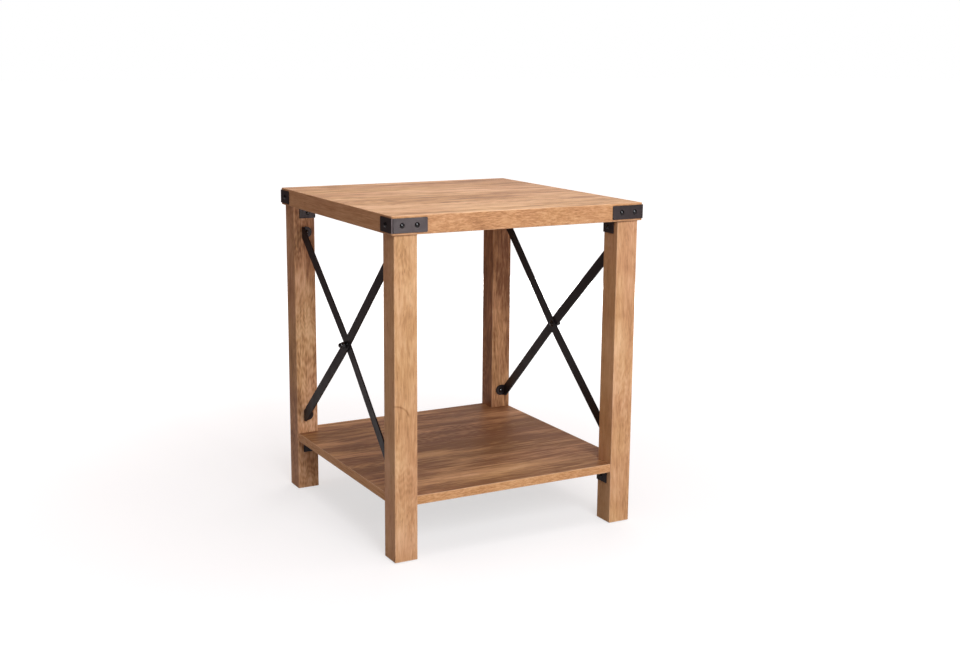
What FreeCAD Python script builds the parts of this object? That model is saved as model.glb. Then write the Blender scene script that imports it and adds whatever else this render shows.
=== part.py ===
import FreeCAD, Part
import math
import os

# Lamp table: a thick square top on four straight legs, with a notched shelf between the legs.
# Black steel holds it together: folded corner plates round the edge of the top, stamped corner
# brackets under the top and under the shelf, and crossed flat-bar braces on the left and right.
# Millimetres, +Z up, front towards -Y. The origin is on the floor, under the middle of the top.

# Top
table_height = 560.0
top_width = 462.0
top_depth = 475.0
top_thickness = 30.0
top_edge_radius = 1.2
top_corner_radius = 3.0

# Legs
leg_side = 40.0
leg_edge_radius = 1.5
top_overhang = 5.5

# Shelf, whose edges stay a little behind the outer faces of the legs
shelf_height = 108.0
shelf_thickness = 15.0
shelf_setback = 1.5
shelf_notch_clearance = 0.3
shelf_edge_radius = 0.8

# Press-in foot glides
glide_diameter = 22.0
glide_thickness = 1.5
glide_rim_chamfer = 0.7
glide_stem_diameter = 6.0
glide_stem_length = 12.0

# Dowels that locate the legs in the top
dowel_diameter = 8.0
dowel_length = 40.0
dowel_chamfer = 0.8

# Clearances and cutting allowance
bore_clearance = 0.1
bore_end_clearance = 0.5
steel_hole_clearance = 0.5
cut_overrun = 2.0
match_share = 0.001

# Corner plates round the edge of the top: a long leg along the front or back, a short one along the side
plate_thickness = 1.5
plate_bend_radius = 2.0
plate_height = 23.0
plate_long_leg = 60.0
plate_short_leg = 40.0
plate_end_radius = 1.5
plate_first_screw = 16.5
plate_screw_spacing = 25.5
plate_side_screw = 21.5

# Dome-head screws of the corner plates
plate_screw_head = 8.6
plate_screw_head_height = 2.6
plate_screw_shank = 3.5
plate_screw_length = 14.0
plate_screw_tip = 3.0

# Corner brackets: two flanges on the inner faces of a leg, and an ear from each under the panel
bracket_thickness = 2.0
bracket_bend_radius = 1.2
bracket_flange_width = 29.0
bracket_drop = 22.0
bracket_ear_length = 22.0
bracket_corner_relief = 4.0
bracket_relief_drop = 6.0
bracket_screw_inset = 13.3
bracket_screw_drop = 13.0
bracket_ear_screw_reach = 13.5

# Pan-head screws of the corner brackets
bracket_screw_head = 7.6
bracket_screw_head_height = 2.4
bracket_screw_shank = 3.5
bracket_screw_length = 12.0
bracket_screw_tip = 3.0

# Brace straps: flat bar folded inwards at both ends, dished inwards towards the crossing
strap_width = 19.0
strap_thickness = 2.5
strap_bend_radius = 1.5
strap_setback = 11.5
strap_dish = 5.5
strap_flat_length = 36.0
strap_tab_height = 20.0
strap_tab_screw_offset = 9.0
strap_gap_below_bracket = 15.5
strap_gap_above_shelf = 24.0

# Dome-head screws of the brace ends
strap_screw_head = 9.0
strap_screw_head_height = 2.8
strap_screw_shank = 4.0
strap_screw_length = 18.0
strap_screw_tip = 3.5

# Bolt, washer and cap nut where two straps cross
bolt_shank = 6.0
bolt_head = 12.0
bolt_head_height = 3.2
bolt_nut_grip = 7.0
washer_diameter = 12.0
washer_thickness = 1.6
nut_across_flats = 10.0
nut_hex_height = 6.0
nut_chamfer_diameter = 9.6
nut_chamfer_height = 0.7
nut_dome_diameter = 9.0
nut_height = 12.0
nut_bore_depth = 8.0

# Places worked out from the sizes above
half_width = top_width / 2
half_depth = top_depth / 2
top_underside = table_height - top_thickness
leg_outer_x = half_width - top_overhang
leg_outer_y = half_depth - top_overhang
leg_inner_x = leg_outer_x - leg_side
leg_inner_y = leg_outer_y - leg_side
shelf_underside = shelf_height - shelf_thickness
strap_upper_screw_height = top_underside - bracket_drop - strap_gap_below_bracket - strap_tab_height / 2
strap_lower_screw_height = shelf_height + strap_gap_above_shelf + strap_tab_height / 2
strap_middle_height = (strap_upper_screw_height + strap_lower_screw_height) / 2

X = FreeCAD.Vector(1, 0, 0)
Y = FreeCAD.Vector(0, 1, 0)
Z = FreeCAD.Vector(0, 0, 1)
ORIGIN = FreeCAD.Vector(0, 0, 0)

# The four corners, as the side of the table that each lies on in X and in Y
CORNERS = {
    "front_left": (-1, -1),
    "front_right": (1, -1),
    "back_left": (-1, 1),
    "back_right": (1, 1),
}


def block(low, high):
    """Box between two opposite corners."""
    size = high - low
    return Part.makeBox(size.x, size.y, size.z, low)


def rod(start, direction, diameter, length):
    """Round bar from a point along a direction."""
    return Part.makeCylinder(diameter / 2, length, start, direction)


def bore(start, direction, diameter, length):
    """Cutter for a round hole that starts a little outside the face it enters."""
    return rod(start - direction * cut_overrun, direction, diameter, length + cut_overrun)


def turned(edges):
    """Solid of revolution about Z from the edges of half its section."""
    return Part.Face(Part.Wire(edges)).revolve(ORIGIN, Z, 360)


def polyline(points):
    """Straight edges through the points, in order."""
    return [Part.makeLine(a, b) for a, b in zip(points, points[1:])]


def dome_arc(radius, height):
    """Arc of a low dome's section, from its rim on the seat up to its crown on the axis."""
    sphere = (radius ** 2 + height ** 2) / (2 * height)
    half_angle = math.atan2(radius, sphere - height) / 2
    middle = FreeCAD.Vector(sphere * math.sin(half_angle), 0, height - sphere * (1 - math.cos(half_angle)))
    return Part.Arc(FreeCAD.Vector(radius, 0, 0), middle, Z * height).toShape()


def headed_pin(seat, direction, head, head_height, shank, length, tip):
    """Dome-headed screw or bolt: the head sits on the seat, the shank runs along the direction."""
    section = [dome_arc(head / 2, head_height)]
    section += polyline([
        Z * head_height,
        Z * -length,
        FreeCAD.Vector(shank / 2, 0, tip - length),
        FreeCAD.Vector(shank / 2, 0, 0),
        FreeCAD.Vector(head / 2, 0, 0),
    ])
    pin = turned(section)
    pin.Placement = FreeCAD.Placement(seat, FreeCAD.Rotation(-Z, direction))
    return pin


def at_corner(shape, corner, place):
    """Puts a shape made for the front left corner at another corner, mirrored as it has to be."""
    side_x, side_y = CORNERS[corner]
    if side_x > 0:
        shape = shape.mirror(ORIGIN, X)
    if side_y > 0:
        shape = shape.mirror(ORIGIN, Y)
    return shape.translated(FreeCAD.Vector(side_x * place.x, side_y * place.y, place.z))


def offset_path(points, distance, axis):
    """Path at a distance to the left of another, seen with the axis towards the eye, with mitred corners."""
    sides = [axis.cross((b - a).normalize()) for a, b in zip(points, points[1:])]
    moved = [points[0] + sides[0] * distance]
    for point, before, after in zip(points[1:], sides, sides[1:]):
        moved.append(point + (before + after) * (distance / (1 + before.dot(after))))
    moved.append(points[-1] + sides[-1] * distance)
    return moved


def rounded_path(points, radii):
    """Edges through the points, with an arc in place of each inner corner that has a radius."""
    edges = []
    start = points[0]
    for before, point, after, radius in zip(points, points[1:], points[2:], radii):
        arriving = (point - before).normalize()
        leaving = (after - point).normalize()
        half_turn = arriving.getAngle(leaving) / 2
        reach = radius * math.tan(half_turn)
        edges.append(Part.makeLine(start, point - arriving * reach))
        start = point + leaving * reach
        if radius > 0:
            middle = point + (leaving - arriving).normalize() * (radius / math.cos(half_turn) - radius)
            edges.append(Part.Arc(point - arriving * reach, middle, start).toShape())
    edges.append(Part.makeLine(start, points[-1]))
    return edges


def bent_sheet(points, thickness, path_radii, other_radii, across):
    """Sheet metal bent along a path, which is one of its faces: the thickness lies to the path's left."""
    other = offset_path(points, thickness, FreeCAD.Vector(across).normalize())
    outline = rounded_path(points, path_radii)
    outline += [Part.makeLine(points[-1], other[-1])]
    outline += rounded_path(other, other_radii)
    outline += [Part.makeLine(other[0], points[0])]
    return Part.Face(Part.Wire(Part.__sortEdges__(outline))).extrude(across)


def edges_along(shape, direction):
    """Straight edges that run along a direction."""
    chosen = []
    for edge in shape.Edges:
        run = edge.Vertexes[-1].Point - edge.Vertexes[0].Point
        if run.Length > 0 and run.cross(direction).Length < run.Length * match_share:
            chosen.append(edge)
    return chosen


# Corner plates, with the outer corner of the top at the local origin
plate_low = -plate_height / 2


def corner_plate_screw_places():
    """Seats and directions of the screws of the front left plate, on the plate's outer faces."""
    first = plate_first_screw
    second = plate_first_screw + plate_screw_spacing
    return [
        (FreeCAD.Vector(first, -plate_thickness, 0), Y),
        (FreeCAD.Vector(second, -plate_thickness, 0), Y),
        (FreeCAD.Vector(-plate_thickness, plate_side_screw, 0), X),
    ]


def corner_plate():
    """Steel strip folded round the corner of the top, with rounded ends and screw holes."""
    path = [
        FreeCAD.Vector(-plate_thickness, plate_short_leg, plate_low),
        FreeCAD.Vector(-plate_thickness, -plate_thickness, plate_low),
        FreeCAD.Vector(plate_long_leg, -plate_thickness, plate_low),
    ]
    outside_radius = plate_bend_radius + plate_thickness
    plate = bent_sheet(path, plate_thickness, [outside_radius], [plate_bend_radius], Z * plate_height)
    across_sheet = edges_along(plate, X) + edges_along(plate, Y)
    free_ends = [edge for edge in across_sheet if edge.Length < plate_thickness * (1 + match_share)]
    plate = plate.makeFillet(plate_end_radius, free_ends)
    hole = plate_screw_shank + steel_hole_clearance
    return plate.cut([bore(seat, run, hole, plate_thickness + cut_overrun)
                      for seat, run in corner_plate_screw_places()])


def corner_plate_screws():
    """The three dome-head screws of one corner plate."""
    return [headed_pin(seat, run, plate_screw_head, plate_screw_head_height, plate_screw_shank,
                       plate_screw_length, plate_screw_tip)
            for seat, run in corner_plate_screw_places()]


def screw_bores(places, shank, length):
    """Pilot holes for screws, along the same axes as the screws themselves."""
    diameter = shank + 2 * bore_clearance
    return [bore(seat, run, diameter, length + bore_end_clearance) for seat, run in places]


# Corner brackets, with the inner corner of a leg and the underside of the panel at the local origin
def bracket_leg_screw_places():
    """Seats and directions of the two screws from a bracket into its leg."""
    return [
        (FreeCAD.Vector(-bracket_screw_inset, bracket_thickness, -bracket_screw_drop), -Y),
        (FreeCAD.Vector(bracket_thickness, -bracket_screw_inset, -bracket_screw_drop), -X),
    ]


def bracket_ear_screw_places():
    """Seats and directions of the two screws from a bracket's ears up into the panel."""
    return [
        (FreeCAD.Vector(-bracket_screw_inset, bracket_ear_screw_reach, -bracket_thickness), Z),
        (FreeCAD.Vector(bracket_ear_screw_reach, -bracket_screw_inset, -bracket_thickness), Z),
    ]


def corner_bracket():
    """Stamped bracket: an angle round the leg's inner corner, whose two flanges turn out into ears."""
    far = -bracket_flange_width
    ear_width = bracket_flange_width - bracket_corner_relief
    leg_y = [
        FreeCAD.Vector(far, bracket_ear_length, 0),
        FreeCAD.Vector(far, 0, 0),
        FreeCAD.Vector(far, 0, -bracket_drop),
    ]
    leg_x = [
        FreeCAD.Vector(0, far, -bracket_drop),
        FreeCAD.Vector(0, far, 0),
        FreeCAD.Vector(bracket_ear_length, far, 0),
    ]
    round_leg = [
        FreeCAD.Vector(-bracket_corner_relief, 0, -bracket_drop),
        FreeCAD.Vector(0, 0, -bracket_drop),
        FreeCAD.Vector(0, -bracket_corner_relief, -bracket_drop),
    ]
    inside = [bracket_bend_radius]
    outside = [bracket_bend_radius + bracket_thickness]
    folded_y = bent_sheet(leg_y, bracket_thickness, outside, inside, X * ear_width)
    folded_x = bent_sheet(leg_x, bracket_thickness, outside, inside, Y * ear_width)
    angle_height = bracket_drop - bracket_relief_drop
    angle = bent_sheet(round_leg, bracket_thickness, inside, outside, Z * angle_height)
    bracket = folded_y.fuse([folded_x, angle]).removeSplitter()
    hole = bracket_screw_shank + steel_hole_clearance
    places = bracket_leg_screw_places() + bracket_ear_screw_places()
    return bracket.cut([bore(seat, run, hole, bracket_thickness + cut_overrun) for seat, run in places])


def bracket_screws(places):
    """Pan-head screws of one bracket at the given places."""
    return [headed_pin(seat, run, bracket_screw_head, bracket_screw_head_height, bracket_screw_shank,
                       bracket_screw_length, bracket_screw_tip)
            for seat, run in places]


# Brace straps. The outer one of a pair rises to the front, the inner one to the back.
RISE = {"outer": -1, "inner": 1}


def strap_setback_of(kind):
    """How far a strap's outer face lies behind the outer faces of the legs, at its folds."""
    return strap_setback if kind == "outer" else strap_setback + strap_thickness


def strap_end_places(kind):
    """Seats and directions of the two end screws of a left strap, upper end first."""
    x = strap_setback_of(kind) + strap_tab_screw_offset - leg_outer_x
    seat_y = (leg_inner_y - strap_thickness) * RISE[kind]
    run = Y * RISE[kind]
    return [
        (FreeCAD.Vector(x, seat_y, strap_upper_screw_height), run),
        (FreeCAD.Vector(x, -seat_y, strap_lower_screw_height), -run),
    ]


def strap_outline(rise):
    """Side view of a strap's sloping run: a bar of even width between the folds, level at its two ends."""
    fold_y = leg_inner_y - strap_thickness - strap_bend_radius
    half_tab = strap_tab_height / 2
    top = strap_upper_screw_height
    bottom = strap_lower_screw_height
    climb = top - bottom - strap_tab_height
    diagonal = math.hypot(2 * fold_y, climb)
    slope = math.atan2(climb, 2 * fold_y) + math.asin(strap_width / diagonal)
    level_y = fold_y - (top - bottom) / math.tan(slope)
    corners = [
        (level_y, bottom - half_tab),
        (fold_y, top - half_tab),
        (fold_y, top + half_tab),
        (-level_y, top + half_tab),
        (-fold_y, bottom + half_tab),
        (-fold_y, bottom - half_tab),
        (level_y, bottom - half_tab),
    ]
    return [FreeCAD.Vector(0, rise * y, z) for y, z in corners]


def brace_strap(kind):
    """Left strap: a sheet with upright folds, trimmed to a sloping bar with a round tab at each end."""
    outer_x = strap_setback_of(kind) - leg_outer_x
    dished_x = outer_x + strap_dish
    tab_x = outer_x + strap_tab_screw_offset + strap_tab_height
    half_flat = strap_flat_length / 2
    half_tab = strap_tab_height / 2
    foot = strap_lower_screw_height - strap_tab_height
    path = [
        FreeCAD.Vector(tab_x, leg_inner_y, foot),
        FreeCAD.Vector(outer_x, leg_inner_y, foot),
        FreeCAD.Vector(dished_x, half_flat, foot),
        FreeCAD.Vector(dished_x, -half_flat, foot),
        FreeCAD.Vector(outer_x, -leg_inner_y, foot),
        FreeCAD.Vector(tab_x, -leg_inner_y, foot),
    ]
    height = strap_upper_screw_height - strap_lower_screw_height + 2 * strap_tab_height
    inside = strap_bend_radius
    outside = strap_bend_radius + strap_thickness
    sheet = bent_sheet(path, strap_thickness, [outside, 0, 0, outside], [inside, 0, 0, inside], Z * height)
    run = Part.Face(Part.makePolygon(strap_outline(RISE[kind]))).extrude(X * (strap_dish + strap_tab_height))
    keep = [run.translated(X * (outer_x - cut_overrun))]
    tab_run = strap_bend_radius + strap_thickness + cut_overrun
    for seat, way in strap_end_places(kind):
        start = seat - way * strap_bend_radius
        keep.append(rod(start, way, strap_tab_height, tab_run))
        ends = (start, start + way * tab_run)
        low = FreeCAD.Vector(outer_x - cut_overrun, min(end.y for end in ends), seat.z - half_tab)
        high = FreeCAD.Vector(seat.x, max(end.y for end in ends), seat.z + half_tab)
        keep.append(block(low, high))
    strap = sheet.common(keep[0].fuse(keep[1:])).removeSplitter()
    screw_hole = strap_screw_shank + steel_hole_clearance
    bolt_hole = bolt_shank + steel_hole_clearance
    through = strap_thickness + cut_overrun
    holes = [bore(seat, way, screw_hole, through) for seat, way in strap_end_places(kind)]
    holes.append(bore(FreeCAD.Vector(dished_x, 0, strap_middle_height), X, bolt_hole, through))
    return strap.cut(holes)


def strap_screws(kind):
    """The two dome-head end screws of a left strap."""
    return [headed_pin(seat, run, strap_screw_head, strap_screw_head_height, strap_screw_shank,
                       strap_screw_length, strap_screw_tip)
            for seat, run in strap_end_places(kind)]


# Fastening of a left pair of straps where they cross: the cap nut faces outwards
crossing_outer = FreeCAD.Vector(strap_setback + strap_dish - leg_outer_x, 0, strap_middle_height)
crossing_inner = crossing_outer + X * (2 * strap_thickness)


def crossing_bolt():
    """Low dome-head bolt from the inner side through both straps, the washer and into the cap nut."""
    length = 2 * strap_thickness + washer_thickness + bolt_nut_grip
    return headed_pin(crossing_inner, -X, bolt_head, bolt_head_height, bolt_shank, length, 0)


def crossing_washer():
    """Flat washer between the outer strap and the cap nut."""
    washer = rod(crossing_outer, -X, washer_diameter, washer_thickness)
    hole = bolt_shank + steel_hole_clearance
    return washer.cut(bore(crossing_outer, -X, hole, washer_thickness + cut_overrun))


def crossing_cap_nut():
    """Hexagon cap nut with chamfered corners and a domed end, bored blind for the bolt."""
    seat = crossing_outer - X * washer_thickness
    corner = nut_across_flats / math.sqrt(3)
    turns = [math.pi * step / 3 for step in range(7)]
    hexagon = [FreeCAD.Vector(corner * math.cos(turn), corner * math.sin(turn), 0) for turn in turns]
    nut = Part.Face(Part.makePolygon(hexagon)).extrude(Z * nut_hex_height)
    chamfered = turned(polyline([
        ORIGIN,
        FreeCAD.Vector(nut_chamfer_diameter / 2, 0, 0),
        FreeCAD.Vector(corner, 0, nut_chamfer_height),
        FreeCAD.Vector(corner, 0, nut_hex_height - nut_chamfer_height),
        FreeCAD.Vector(nut_chamfer_diameter / 2, 0, nut_hex_height),
        Z * nut_hex_height,
        ORIGIN,
    ]))
    dome_radius = nut_dome_diameter / 2
    crown = nut_height - dome_radius
    neck = rod(ORIGIN, Z, nut_dome_diameter, crown)
    dome = Part.makeSphere(dome_radius, Z * crown)
    nut = nut.common(chamfered).fuse([neck, dome]).removeSplitter()
    nut = nut.cut(bore(ORIGIN, Z, bolt_shank + 2 * bore_clearance, nut_bore_depth))
    nut.Placement = FreeCAD.Placement(seat, FreeCAD.Rotation(Z, -X))
    return nut


def on_side(shape, side):
    """A piece of the left brace as it is, or mirrored for the right."""
    return shape.mirror(ORIGIN, X) if side == "right" else shape


# Wooden pieces and the pieces that locate them
def leg_middle(corner):
    """Point on the floor under the middle of a leg."""
    side_x, side_y = CORNERS[corner]
    inset = leg_side / 2
    return FreeCAD.Vector(side_x * (leg_outer_x - inset), side_y * (leg_outer_y - inset), 0)


def dowel(corner):
    """Wooden dowel, half in the leg and half in the top, with chamfered ends."""
    foot = leg_middle(corner) + Z * (top_underside - dowel_length / 2)
    pin = rod(foot, Z, dowel_diameter, dowel_length)
    rims = [edge for edge in pin.Edges if isinstance(edge.Curve, Part.Circle)]
    return pin.makeChamfer(dowel_chamfer, rims)


def dowel_bore(corner):
    """Hole for a dowel, in the leg and in the top alike."""
    depth = dowel_length + 2 * bore_end_clearance
    foot = leg_middle(corner) + Z * (top_underside - depth / 2)
    return rod(foot, Z, dowel_diameter + 2 * bore_clearance, depth)


def glide(corner):
    """Plastic foot glide: a disc with a chamfered rim, and a stem pressed into the end of the leg."""
    radius = glide_diameter / 2
    stem = glide_stem_diameter / 2
    top = glide_thickness + glide_stem_length
    section = [
        ORIGIN,
        FreeCAD.Vector(radius - glide_rim_chamfer, 0, 0),
        FreeCAD.Vector(radius, 0, glide_rim_chamfer),
        FreeCAD.Vector(radius, 0, glide_thickness),
        FreeCAD.Vector(stem, 0, glide_thickness),
        FreeCAD.Vector(stem, 0, top),
        Z * top,
        ORIGIN,
    ]
    return turned(polyline(section)).translated(leg_middle(corner))


def strap_bores(corner):
    """Pilot holes in one leg for the brace end screws that reach it."""
    side_x, side_y = CORNERS[corner]
    places = []
    for kind in RISE:
        places += [(seat, run) for seat, run in strap_end_places(kind) if run.y * side_y > 0]
    bores = screw_bores(places, strap_screw_shank, strap_screw_length)
    return [cutter.mirror(ORIGIN, X) if side_x > 0 else cutter for cutter in bores]


def leg(corner):
    """Straight square leg with eased edges, bored for its dowel, glide, bracket and brace screws."""
    inset = leg_side / 2
    low = leg_middle(corner) + FreeCAD.Vector(-inset, -inset, glide_thickness)
    high = leg_middle(corner) + FreeCAD.Vector(inset, inset, top_underside)
    post = block(low, high)
    post = post.makeFillet(leg_edge_radius, edges_along(post, Z))
    cutters = [dowel_bore(corner)]
    stem_hole = glide_stem_diameter + 2 * bore_clearance
    foot = leg_middle(corner) + Z * glide_thickness
    cutters.append(bore(foot, Z, stem_hole, glide_stem_length + bore_end_clearance))
    for panel_height in (top_underside, shelf_underside):
        for cutter in screw_bores(bracket_leg_screw_places(), bracket_screw_shank, bracket_screw_length):
            cutters.append(at_corner(cutter, corner, FreeCAD.Vector(leg_inner_x, leg_inner_y, panel_height)))
    return post.cut(cutters + strap_bores(corner))


def top_panel():
    """Thick top with eased edges and rounded corners, bored for dowels, bracket screws and plate screws."""
    panel = block(FreeCAD.Vector(-half_width, -half_depth, top_underside),
                  FreeCAD.Vector(half_width, half_depth, table_height))
    panel = panel.makeFillet(top_corner_radius, edges_along(panel, Z))
    rims = [edge for edge in panel.Edges if edge.BoundBox.ZLength < top_edge_radius]
    panel = panel.makeFillet(top_edge_radius, rims)
    cutters = []
    edge_height = top_underside + top_thickness / 2
    for corner in CORNERS:
        cutters.append(dowel_bore(corner))
        for cutter in screw_bores(bracket_ear_screw_places(), bracket_screw_shank, bracket_screw_length):
            cutters.append(at_corner(cutter, corner, FreeCAD.Vector(leg_inner_x, leg_inner_y, top_underside)))
        for cutter in screw_bores(corner_plate_screw_places(), plate_screw_shank, plate_screw_length):
            cutters.append(at_corner(cutter, corner, FreeCAD.Vector(half_width, half_depth, edge_height)))
    return panel.cut(cutters)


def shelf_panel():
    """Shelf board with a notch round each leg, eased along its four open edges."""
    edge_x = leg_outer_x - shelf_setback
    edge_y = leg_outer_y - shelf_setback
    board = block(FreeCAD.Vector(-edge_x, -edge_y, shelf_underside),
                  FreeCAD.Vector(edge_x, edge_y, shelf_height))
    board = board.makeFillet(shelf_edge_radius, edges_along(board, X) + edges_along(board, Y))
    notch = leg_side / 2 + shelf_notch_clearance
    bracket_place = FreeCAD.Vector(leg_inner_x, leg_inner_y, shelf_underside)
    cutters = []
    for corner in CORNERS:
        middle = leg_middle(corner)
        low = middle + FreeCAD.Vector(-notch, -notch, shelf_underside - cut_overrun)
        high = middle + FreeCAD.Vector(notch, notch, shelf_height + cut_overrun)
        cutters.append(block(low, high))
        for cutter in screw_bores(bracket_ear_screw_places(), bracket_screw_shank, bracket_screw_length):
            cutters.append(at_corner(cutter, corner, bracket_place))
    return board.cut(cutters)


# The pieces by name
nodes = {"top_panel": top_panel(), "shelf_panel": shelf_panel()}
groups = {
    "leg_dowels": [],
    "corner_plate_screws": [],
    "top_bracket_screws": [],
    "shelf_bracket_screws": [],
    "brace_end_screws": [],
    "brace_bolt_washers": [],
}
top_corner_place = FreeCAD.Vector(half_width, half_depth, top_underside + top_thickness / 2)
bracket_heights = {"top_bracket": top_underside, "shelf_bracket": shelf_underside}

for corner in CORNERS:
    nodes["leg_" + corner] = leg(corner)
    nodes["foot_glide_" + corner] = glide(corner)
    nodes["corner_plate_" + corner] = at_corner(corner_plate(), corner, top_corner_place)
    groups["leg_dowels"].append(dowel(corner))
    for pin in corner_plate_screws():
        groups["corner_plate_screws"].append(at_corner(pin, corner, top_corner_place))
    for kind, height in bracket_heights.items():
        place = FreeCAD.Vector(leg_inner_x, leg_inner_y, height)
        nodes[kind + "_" + corner] = at_corner(corner_bracket(), corner, place)
        for pin in bracket_screws(bracket_leg_screw_places() + bracket_ear_screw_places()):
            groups[kind + "_screws"].append(at_corner(pin, corner, place))

for side in ("left", "right"):
    for kind in RISE:
        nodes["brace_" + side + "_" + kind] = on_side(brace_strap(kind), side)
        groups["brace_end_screws"] += [on_side(pin, side) for pin in strap_screws(kind)]
    nodes["brace_bolt_" + side] = on_side(crossing_bolt(), side)
    nodes["brace_cap_nut_" + side] = on_side(crossing_cap_nut(), side)
    groups["brace_bolt_washers"].append(on_side(crossing_washer(), side))

for name, solids in groups.items():
    nodes[name] = Part.makeCompound(solids)

os.makedirs("parts", exist_ok=True)
for name, shape in nodes.items():
    shape.exportStep(os.path.join("parts", name + ".step"))
    print(name, len(shape.Solids), shape.isValid())
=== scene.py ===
import math

import bpy
import numpy as np
from mathutils import Matrix, Vector


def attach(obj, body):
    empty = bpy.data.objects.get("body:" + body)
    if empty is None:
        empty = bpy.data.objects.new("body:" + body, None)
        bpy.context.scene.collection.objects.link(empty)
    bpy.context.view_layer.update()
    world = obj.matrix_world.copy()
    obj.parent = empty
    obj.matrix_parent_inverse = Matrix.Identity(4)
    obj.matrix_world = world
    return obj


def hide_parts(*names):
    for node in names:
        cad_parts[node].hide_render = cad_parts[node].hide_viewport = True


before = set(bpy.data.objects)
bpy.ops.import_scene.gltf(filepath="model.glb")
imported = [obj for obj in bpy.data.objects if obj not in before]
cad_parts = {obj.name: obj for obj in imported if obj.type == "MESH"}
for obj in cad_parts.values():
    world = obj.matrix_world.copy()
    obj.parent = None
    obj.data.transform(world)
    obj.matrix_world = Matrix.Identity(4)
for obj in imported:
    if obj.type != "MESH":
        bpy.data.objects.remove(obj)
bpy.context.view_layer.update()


# Legs: four straight posts of board wrapped in an oak-look foil, with upright grain on every face and
# eased edges. Each stands on a glide and is dowelled into the top and screwed to the brackets and braces.
CORNERS = ("front_left", "front_right", "back_left", "back_right")
LEG_CENTRE = (0.2055, 0.212, 0.26575)
LEG_HALF = (0.020, 0.020, 0.26425)
# Reach of the painted highlight along the legs' edges.
LEG_HIGHLIGHT_REACH = 0.0022
LEG_SEEDS = (2.3, 4.1)


def add_node(tree, kind, feeds=None, **settings):
    """One shader node: settings are its own properties, feeds its inputs, as values or other nodes' sockets."""
    made = tree.nodes.new(kind)
    for name, value in settings.items():
        setattr(made, name, value)
    for socket, value in (feeds or {}).items():
        if isinstance(value, bpy.types.NodeSocket):
            tree.links.new(value, made.inputs[socket])
        else:
            made.inputs[socket].default_value = value
    return made


def sum_up(tree, operation, *values):
    """Output of a Math node fed with one, two or three values or sockets."""
    return add_node(tree, "ShaderNodeMath", dict(enumerate(values)), operation=operation).outputs[0]


def sum_vectors(tree, operation, *vectors):
    """Vector from a Vector Math node fed with one or two vectors or sockets."""
    return add_node(tree, "ShaderNodeVectorMath", dict(enumerate(vectors)), operation=operation).outputs[0]


def split_axes(tree, vector):
    """X, Y and Z of a vector."""
    return add_node(tree, "ShaderNodeSeparateXYZ", {0: vector}).outputs


def join_axes(tree, x, y, z):
    """Vector of an X, a Y and a Z."""
    return add_node(tree, "ShaderNodeCombineXYZ", {"X": x, "Y": y, "Z": z}).outputs[0]


def ramp_between(tree, value, start, end, low=0.0, high=1.0):
    """Smooth step of a value from low at start to high at end."""
    feeds = {"Value": value, "From Min": start, "From Max": end, "To Min": low, "To Max": high}
    return add_node(tree, "ShaderNodeMapRange", feeds, interpolation_type="SMOOTHSTEP").outputs[0]


def close_to(tree, value, target, reach, high=1.0):
    """High where a value meets its target, and smoothly down to zero a reach away from it."""
    apart = sum_up(tree, "ABSOLUTE", sum_up(tree, "SUBTRACT", value, target))
    return ramp_between(tree, apart, 0.0, reach, high, 0.0)


def pick(tree, mask, off, on):
    """A number that is off where a mask is 0, on where it is 1, and in proportion between."""
    return sum_up(tree, "MULTIPLY_ADD", mask, on - off, off)


def start_group(name, takes, gives):
    """Empty shader node group with named inputs (name, kind, default) and named outputs, all plain values."""
    group = bpy.data.node_groups.new(name, "ShaderNodeTree")
    for label, kind, default in takes:
        group.interface.new_socket(name=label, in_out="INPUT", socket_type=kind).default_value = default
    for label in gives:
        group.interface.new_socket(name=label, in_out="OUTPUT", socket_type="NodeSocketFloat")
    entry = group.nodes.new("NodeGroupInput")
    leave = group.nodes.new("NodeGroupOutput")
    return group, entry.outputs, leave.inputs


# The figure's layers: step of the seed, features per metre along and across the grain, detail and roughness.
FIGURE_LAYERS = {
    "Slow": (0.0, 3.5, 9.0, 2.0, 0.50), "Quick": (0.6, 24.0, 38.0, 1.0, 0.50),
    "Cloud": (7.3, 6.0, 17.0, 3.0, 0.55), "Band": (2.4, 2.4, 27.0, 3.0, 0.50),
    "Streak": (1.9, 13.0, 115.0, 3.0, 0.60), "Fleck": (3.1, 36.0, 350.0, 2.0, 0.60),
    "Bar": (13.4, 21.0, 8.0, 2.0, 0.50), "Warmth": (15.2, 5.0, 15.0, 2.0, 0.50),
    "Bend": (9.2, 9.0, 62.0, 2.0, 0.50), "Flame": (11.5, 4.5, 13.0, 1.0, 0.50),
    "Pore": (5.7, 100.0, 950.0, 1.0, 0.50),
}
SWAY_SLOW, SWAY_QUICK = 0.034, 0.0035
RIPPLE_PITCH, RIPPLE_BEND = 430.0, 46.0
FLAME_SPAN, PORE_SPAN, CROWD_SPAN = (0.02, 0.16), (0.08, 0.20), (-0.14, 0.12)
FEWEST_PORES = 0.25


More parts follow.
